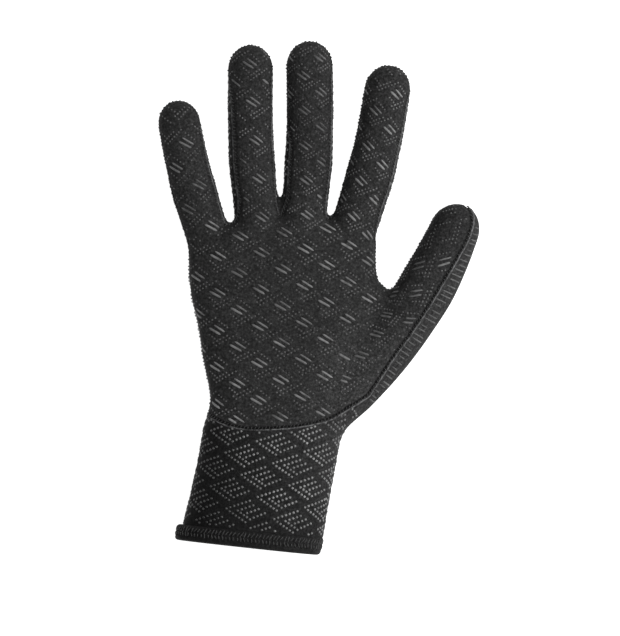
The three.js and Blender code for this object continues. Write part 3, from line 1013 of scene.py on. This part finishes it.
def hem_rings(profile, steps):
    """Rings round the mouth, one for each row of a profile."""
    angle = 2 * np.pi * np.arange(steps) / steps
    rings = []
    for down, proud, rib in profile:
        a = 1 + (HEM_START + down) / CUFF_LENGTH
        half_width, half_depth = MOUTH_SHARE * CUFF_WIDTH / 2, CUFF_DEPTH / 2
        swell = proud + rib * np.sin(angle * HEM_RIBS + down * 1.3)
        is_outside = proud > -0.5
        x = CUFF_SHIFT + CUFF_LEAN * a + HEM_SHIFT * is_outside
        y = -PALM_LENGTH / 2 - CUFF_LENGTH * a
        z = half_depth - REST_SINK + max(proud, 0)
        half_sizes = half_width + swell, half_depth + swell
        ring = section(angle, BODY_SQUARENESS, half_sizes, (x, y, z), math.radians(CUFF_TILT * a))
        ring[:, 2] = np.maximum(ring[:, 2], FLOOR_GAP if is_outside else HEM_INNER_FLOOR)
        rings.append(ring)
    return np.array(rings)


band = hem_rings(HEM_PROFILE, HEM_STEPS)
band_points = band.reshape(-1, 3)
number = np.arange(len(band_points)).reshape(-1, HEM_STEPS)
beside, below = np.roll(number, -1, axis=1), np.roll(number, -1, axis=0)
band_faces = np.stack([beside, np.roll(below, -1, axis=1), below, number], axis=-1).reshape(-1, 4)
# Painted shade: the hem darker towards its left
hem_painted_shade = 0.62 + 0.4 * smoothstep(band_points[:, 0] - CUFF_SHIFT - CUFF_LEAN, -20, 30)
add_piece("hem_band", band_points, band_faces, hem_cloth, "hem_cloth", ["cuff_hem"], {"tone": hem_painted_shade})

hem_threads = []
for start, stop, lean in HEM_THREAD_ROWS:
    pair = hem_rings([(start, HEM_THREAD_RISE, 0), (stop, HEM_THREAD_RISE, 0)], 2 * HEM_STEPS)
    length = np.concatenate([[0], np.cumsum(np.linalg.norm(np.diff(pair[0], axis=0), axis=1))])
    at = np.arange(0, length[-1], HEM_THREAD_PITCH)
    top, foot = (np.stack([np.interp(at, length, ring[:, k]) for k in range(3)], 1) for ring in pair)
    round_way = unit(np.roll(top, -1, axis=0) - np.roll(top, 1, axis=0))
    down_way = unit(foot - top)
    out_way = unit(np.cross(round_way, down_way))
    middle = (top + foot) / 2
    out_way *= np.sign(((middle - middle.mean(0)) * out_way).sum(1))[:, None]
    ok = middle[:, 2] > LOWEST_HEM_THREAD
    ways = down_way[ok], out_way[ok], round_way[ok]
    sizes = (stop - start) / 2, 0.1, 0.3, lean
    hem_threads.append(threads((middle - out_way * 0.08)[ok], *ways, *sizes))
add_piece("hem_stitches", *joined(hem_threads), thread_material("hem_thread_look", 0.01))


# The printed pattern

# A print, in mm: one motif's middle, the steps to the next one across and down, the motif's rows of dots
# (first dot, step, count) and its bars (middle, length, way, width)
PALM_PRINT = {
    "origin": (1.47, 29.58),
    "across": (11.18, -8.58),
    "down": (-11.6, -10.56),
    "rows": [
        ((-4.26, -2.29), (1.456, -1.066), 4),
        ((1.2, 4.62), (1.456, -1.066), 4),
        ((-2.08, -6.55), (1.87, 0.91), 5),
        ((-0.47, -7.96), (1.82, 0.95), 7),
    ],
    "bars": [((-1.18, -0.62), 7.3, (0.874, -0.486), 1.15), ((1.36, 0.85), 7.0, (0.843, -0.537), 0.9)],
}
# The cuff's and back's print: nested chevrons of dots
BACK_PRINT = {
    "origin": (-11.69, -88.46),
    "across": (8.48, -11.44),
    "down": (16.38, 5.98),
    "rows": [
        ((0.0, 0.0), (2.04, 0.66), 7),
        ((1.66, -1.45), (1.63, -1.12), 6),
        ((5.88, -1.09), (1.6, -1.14), 5),
        ((8.0, -0.42), (2.0, 0.68), 4),
        ((10.8, -2.36), (2.0, 0.68), 4),
        ((14.25, -4.7), (1.9, 0.74), 4),
    ],
    "bars": [],
}
# How far the print keeps from the seam, and how near to each other dots and bars of two parts may lie (mm)
DOT_MARGIN = 1.5
BAR_MARGIN = 1.6
PALM_DOT_GAP = 1.3
BACK_DOT_GAP = 1.2
BAR_GAP = 3.4
# The share along a finger where the dots of its back end
BACK_DOTS_END = 0.9
# How far dots keep from the hem, and the lowest of them (mm)
HEM_MARGIN = 0.6
LOWEST_DOT = 0.4
# Radius and height of a dot of the palm's and of the back's (mm)
PALM_DOT = (0.58, 0.2)
BACK_DOT = (0.78, 0.3)
# The height of a bar or rib at its middle (mm)
LINE_HEIGHT = 0.24
# The ribs on the thumb's outer strip (mm)
RIB_COUNT = 36
RIBS_START = 25
RIB_PITCH = 2.9
RIB_REACH = 26
RIB_WIDTH = 0.7
# The body, little, ring, middle and index finger, and the thumb: how bright the palm's bars are there,
# and the share along the part where they end
BAR_TONES = (1.0, 0.85, 0.62, 0.66, 0.85, 0.62)
BAR_ENDS = (FAR, 0.78, FAR, FAR, 0.9, 0.8)


def arc_table(squareness):
    """Length round a section from its top, for height to width ratios and angles."""
    ratios, theta = np.linspace(0.1, 1.4, 27), np.linspace(0, np.pi / 2, 129)
    table = []
    for ratio in ratios:
        x, y = np.cos(theta) ** (2 / squareness), ratio * np.sin(theta) ** (2 / squareness)
        step = np.hypot(np.diff(x), np.diff(y))
        table.append(np.concatenate([np.cumsum(step[::-1])[::-1], [0]]))
    return ratios, theta, np.array(table)


ARC_TABLES = {n: arc_table(n) for n in (BODY_SQUARENESS, FINGER_SQUARENESS)}


def arc_from_top(on, squareness):
    """Distance round the skin from the top ridge, without sign."""
    ratios, theta, table = ARC_TABLES[squareness]
    wide = np.maximum(np.abs(on["across"]) / on["half_width"], 1e-6)
    tall = np.abs(on["height"]) / on["half_depth"]
    angle = np.arctan((tall / wide) ** (squareness / 2))
    ratio = on["half_depth"] / on["half_width"]
    r = np.clip((ratio - ratios[0]) / (ratios[1] - ratios[0]), 0, len(ratios) - 1.001)
    a = np.clip(angle / theta[1], 0, len(theta) - 1.001)
    i, j = r.astype(int), a.astype(int)
    fr, fa = r - i, a - j
    arc = (table[i, j] * (1 - fa) + table[i, j + 1] * fa) * (1 - fr)
    arc += (table[i + 1, j] * (1 - fa) + table[i + 1, j + 1] * fa) * fr
    quarter = table[i, 0] * (1 - fr) + table[i + 1, 0] * fr
    arc = np.where(on["height"] >= 0, arc, 2 * quarter - arc)
    return arc * on["half_width"] * np.clip(on["radius"], 0, 1.1), 2 * quarter * on["half_width"]


def flat_place(part, on, is_palm_print, from_top):
    """Where each skin point lies when the part's cloth is laid flat."""
    arc, half = arc_from_top(on, part.squareness)
    side = np.sign(on["across"]) * (arc if from_top else half - arc)
    x, y, head = (np.interp(on["s"], part.s, line) for line in part.flat[is_palm_print])
    return np.stack([x + side * np.cos(head), y - side * np.sin(head)], axis=1)


places = [place_on(part, outer) for part in PARTS]
nearest = np.argmin(np.stack([p["off"] for p in places]), axis=0)
final_up = normals_of(outer, all_tris)


class FlatSkin:
    """Triangles of the skin laid flat, to find the skin over a flat place."""

    def __init__(self, flat, heights, tris, above):
        self.flat, self.tris, self.above = flat, tris, above
        corners = [Vector((float(a), float(b), float(h))) for (a, b), h in zip(flat, heights)]
        self.tree = BVHTree.FromPolygons(corners, tris.tolist())

    def find(self, x, y):
        """The triangle there, its corners and their weights, or None where no skin lies."""
        number = self.tree.ray_cast(Vector((x, y, self.above)), Vector((0, 0, -1)))[2]
        if number is None:
            return None
        corners = self.tris[number]
        a, b, c = self.flat[corners]
        det = (b[0] - a[0]) * (c[1] - a[1]) - (c[0] - a[0]) * (b[1] - a[1])
        if abs(det) < 1e-9:
            return None
        u = ((x - a[0]) * (c[1] - a[1]) - (c[0] - a[0]) * (y - a[1])) / det
        v = ((b[0] - a[0]) * (y - a[1]) - (x - a[0]) * (b[1] - a[1])) / det
        return number, corners, np.array([1 - u - v, u, v])


def on_skin(corners, weights):
    """A point of the skin and its up, in one row."""
    return np.concatenate([weights @ outer[corners], unit(weights @ final_up[corners])])


def is_sound(line):
    """Whether a bar is long enough and runs over the skin without a jump or a hook."""
    if len(line) < 7:
        return False
    spine = np.array(line)[:, :3]
    run = np.linalg.norm(np.diff(spine, axis=0), axis=1)
    return np.linalg.norm(spine[-1] - spine[0]) > 0.95 * run.sum() and run.max() < 1.7 * run.mean()


def print_region(index, motif, from_top, last=FAR):
    """Lays a print over one part. Gives dots as (point, up) and bars as lines of those with a width.
    Bars end at the share last along the part."""
    part, on, is_palm_print = PARTS[index], places[index], motif is PALM_PRINT
    origin, steps, pull = motif["origin"], np.array([motif["across"], motif["down"]]).T, np.eye(2)
    if is_palm_print and part.name in FINGER_PRINT:
        origin, across_step, down_step = FINGER_PRINT[part.name]
        pull = np.array([across_step, down_step]).T @ np.linalg.inv(steps)
        steps = np.array([across_step, down_step]).T
    flat = flat_place(part, on, is_palm_print, from_top)
    way = 1.0 if from_top else -1.0
    ok = (on["off"] < 5.0) & (way * final_up[:, 2] > -0.55)
    mine = all_tris[ok[all_tris].all(1)]
    core = (nearest[mine] == index).sum(1) >= 2
    laid = FlatSkin(flat, way * outer[:, 2], mine, 500)
    wanted = 1 if is_palm_print else -1
    tip = BACK_DOTS_END if index and not is_palm_print else FAR

    def look(place, margin, end):
        """The point and up at a flat place that is clear of the seam, and whether it is this part's own."""
        found = laid.find(*place)
        if found is None:
            return None, False
        number, corners, weights = found
        if weights @ seam[corners] * wanted <= margin or weights @ on["s"][corners] >= end:
            return None, False
        return on_skin(corners, weights), core[number]

    low, high = flat[mine].reshape(-1, 2).min(0), flat[mine].reshape(-1, 2).max(0)
    corners = np.array([(x, y) for x in (low[0], high[0]) for y in (low[1], high[1])]) - origin
    span = np.linalg.solve(steps, corners.T)
    first, past = np.floor(span.min(1)).astype(int) - 1, np.ceil(span.max(1)).astype(int) + 2
    dots, strokes = [], []
    for i in range(first[0], past[0]):
        for j in range(first[1], past[1]):
            middle = np.array(origin) + steps @ (i, j)
            for start, step, count in motif["rows"]:
                for k in range(count):
                    place = np.array(start) + k * np.array(step)
                    found, own = look(middle + pull @ place, DOT_MARGIN, tip)
                    if own:
                        dots.append(found)
            for place, length, bar_way, width in motif["bars"]:
                line = []
                for t in np.linspace(-0.5, 0.5, 11):
                    step = t * length * np.array(bar_way)
                    found, own = look(middle + pull @ (np.array(place) + step), BAR_MARGIN, last)
                    if found is not None and (own or line):
                        line.append(found)
                    elif line:
                        break
                if is_sound(line):
                    strokes.append((np.array(line), width))
    return dots, strokes


def clear_of(fresh, earlier, least):
    """Drops points that lie too near to earlier ones."""
    if not earlier:
        return fresh
    earlier = np.array(earlier)[:, :3]
    return [p for p in fresh if ((earlier - p[:3]) ** 2).sum(1).min() > least**2]


def ribs_on_thumb():
    """Raised lines across the outer strip of the thumb, from the seam round to its side."""
    on = places[THUMB_INDEX]
    ok = (on["off"] < 4.0) & (seam < -1.0) & (final_up[:, 2] > -0.5)
    arc, _ = arc_from_top(on, FINGER_SQUARENESS)
    flat = np.stack([on["s"] * THUMB_PART.length, arc * np.sign(on["across"])], axis=1)
    laid = FlatSkin(flat, np.zeros(len(flat)), all_tris[ok[all_tris].all(1)], 5)
    lines = []
    uneven = np.random.default_rng(5).uniform(-1, 1, (RIB_COUNT, 3))
    for k, (shift, skip, reach) in enumerate(uneven):
        at = RIBS_START + RIB_PITCH * k + 0.6 * shift
        line = []
        for t in np.linspace(0, RIB_REACH, 53):
            found = laid.find(at + t * 0.05, t)
            if found is not None:
                line.append(on_skin(*found[1:]))
            elif len(line) > 4:
                break
            else:
                line = []
        first, count = int(1.5 + 1.5 * skip), int(15 + 5 * reach)
        if len(line) > first + 6:
            lines.append((np.array(line[first : first + count]), RIB_WIDTH, 1.0 + 0.3 * reach))
    return lines


def clear_bars(fresh, earlier, tone):
    """Drops bars that would cross a bar of another part, and gives the others their tone."""
    kept = []
    for line, width in fresh:
        middle = line[len(line) // 2, :3]
        if all(np.linalg.norm(old[0][:, :3] - middle, axis=1).min() > BAR_GAP for old in earlier):
            kept.append((line, width, tone))
    return kept


def hem_clear(dots):
    """Leaves out dots that would lie under the hem."""
    dots = np.array(dots)
    return dots[(above_mouth(dots, 1) > HEM_MARGIN) & (dots[:, 2] > LOWEST_DOT)]


palm_dots, palm_bars, back_dots = [], [], []
for index in range(len(PARTS)):
    dots, strokes = print_region(index, PALM_PRINT, True, BAR_ENDS[index])
    palm_dots += clear_of(dots, palm_dots, PALM_DOT_GAP)
    palm_bars += clear_bars(strokes, palm_bars, BAR_TONES[index])
# The back's dots: the side that is seen from above, of the body alone, then the side that it rests on
for index, from_top in ((0, True), *((part, False) for part in (0, THUMB_INDEX, 1, 2, 3, 4))):
    dots, _ = print_region(index, BACK_PRINT, from_top)
    if index == THUMB_INDEX:
        dots = [p for p in dots if p[5] < -0.4]
    back_dots += clear_of(dots, back_dots, BACK_DOT_GAP)
palm_dots, back_dots = hem_clear(palm_dots), hem_clear(back_dots)
verts, faces = domes(palm_dots[:, :3], palm_dots[:, 3:], *PALM_DOT)
add_piece("palm_dots", verts, faces, rubber_material("palm_dot_look", 0.055, 0.6))
verts, faces = domes(back_dots[:, :3], back_dots[:, 3:], *BACK_DOT)
# The cuff's dots fade towards its sides, and most to the left, where the fall is painted shade; they also
# take on the cloth's painted shade
aside = verts[:, 0] - CUFF_SHIFT - CUFF_LEAN * down_cuff(verts)
shade_and_fade = (0.4 + 0.6 * smoothstep(aside, -34, -6)) * (1 - 0.5 * smoothstep(aside, 22, 34))
dot_tone_and_painted_shade = np.minimum(painted_shade_and_highlight_at(verts), 0.62) * shade_and_fade
back_dot_look = rubber_material("back_dot_look", 0.25, 0.5, toned=True)
add_piece("back_dots", verts, faces, back_dot_look, attributes={"tone": dot_tone_and_painted_shade})


def raised_lines(name, lines, look):
    """Low rounded bars that follow the skin; each line is (points with their up, width, tone)."""
    shape = np.array([(-1, -0.35), (-0.75, 0.6), (0, 1), (0.75, 0.6), (1, -0.35), (0, -0.5)])
    bodies, tones = [], []
    for line, width, tone in lines:
        spine, up = line[:, :3], unit(line[:, 3:])
        side = unit(np.cross(up, unit(np.gradient(spine, axis=0))))
        taper = 1 - np.abs(np.linspace(-1, 1, len(line))) ** 8
        wide = width / 2 * taper + 0.06
        tall = np.maximum(LINE_HEIGHT * taper, 0.05)
        rings = spine[:, None] + side[:, None] * (shape[None, :, 0] * wide[:, None])[..., None]
        rings = rings + up[:, None] * (shape[None, :, 1] * tall[:, None])[..., None]
        bodies.append(tubes(rings[None, :, ::-1]))
        tones.append(np.full(len(bodies[-1][0]), tone))
    add_piece(name, *joined(bodies), look, attributes={"tone": np.concatenate(tones)})


raised_lines("palm_bars", palm_bars, rubber_material("bar_look", 0.12, 0.55, toned=True))
raised_lines("thumb_ribs", ribs_on_thumb(), rubber_material("rib_look", 0.042, 0.6, toned=True))

# Studio, in metres
FLOOR_REACH = 6
FLOOR_GLOW = 0.97
WORLD_GLOW = 0.14
CAMERA_HEIGHT = 6.0
SENSOR_WIDTH = 36.0
# What the picture takes in: its width on the palm, the palm's height there, and the picture's middle
VIEW_WIDTH = 0.3224
VIEW_LEVEL = 0.012
VIEW_MIDDLE = (-0.0048, -0.0104)

floor_mesh = bpy.data.meshes.new("studio_floor")
floor_corners = [(x * FLOOR_REACH, y * FLOOR_REACH, 0) for x, y in ((-1, -1), (1, -1), (1, 1), (-1, 1))]
floor_mesh.from_pydata(floor_corners, [], [(0, 1, 2, 3)])
floor = new_object("studio_floor", floor_mesh)
pale = Nodes("studio_floor_look", 0.9, specular=0.1)
pale.colour(pale.ramp(pale.noise(3, 2), [(0.3, 0.5), (0.7, 0.53)]))
pale.shader.inputs["Emission Color"].default_value = (1, 1, 1, 1)
pale.shader.inputs["Emission Strength"].default_value = FLOOR_GLOW
floor_mesh.materials.append(pale.material)


def soft_light(name, place, size, power):
    """A square lamp that points at the glove."""
    lamp = bpy.data.lights.new(name, "AREA")
    lamp.shape, lamp.size, lamp.energy = "SQUARE", size, power
    thing = new_object(name, lamp)
    thing.location = place
    thing.rotation_euler = (-Vector(place)).to_track_quat("-Z", "Y").to_euler()


soft_light("key", (1.1, 0.1, 0.8), 0.8, 17)
soft_light("top", (0.5, 0.15, 1.8), 1.3, 25)

world = bpy.data.worlds.new("studio")
world.use_nodes = True
world.node_tree.nodes["Background"].inputs["Color"].default_value = (1, 1, 1, 1)
world.node_tree.nodes["Background"].inputs["Strength"].default_value = WORLD_GLOW
bpy.context.scene.world = world

camera = bpy.data.cameras.new("camera")
camera.sensor_fit = "HORIZONTAL"
camera.sensor_width = SENSOR_WIDTH
camera.lens = SENSOR_WIDTH * (CAMERA_HEIGHT - VIEW_LEVEL) / VIEW_WIDTH
eye = new_object("camera", camera)
eye.location = (*VIEW_MIDDLE, CAMERA_HEIGHT)
eye.rotation_euler = (0, 0, 0)
bpy.context.scene.camera = eye
view = bpy.context.scene.view_settings
view.view_transform, view.look, view.exposure = "Standard", "None", 0.0
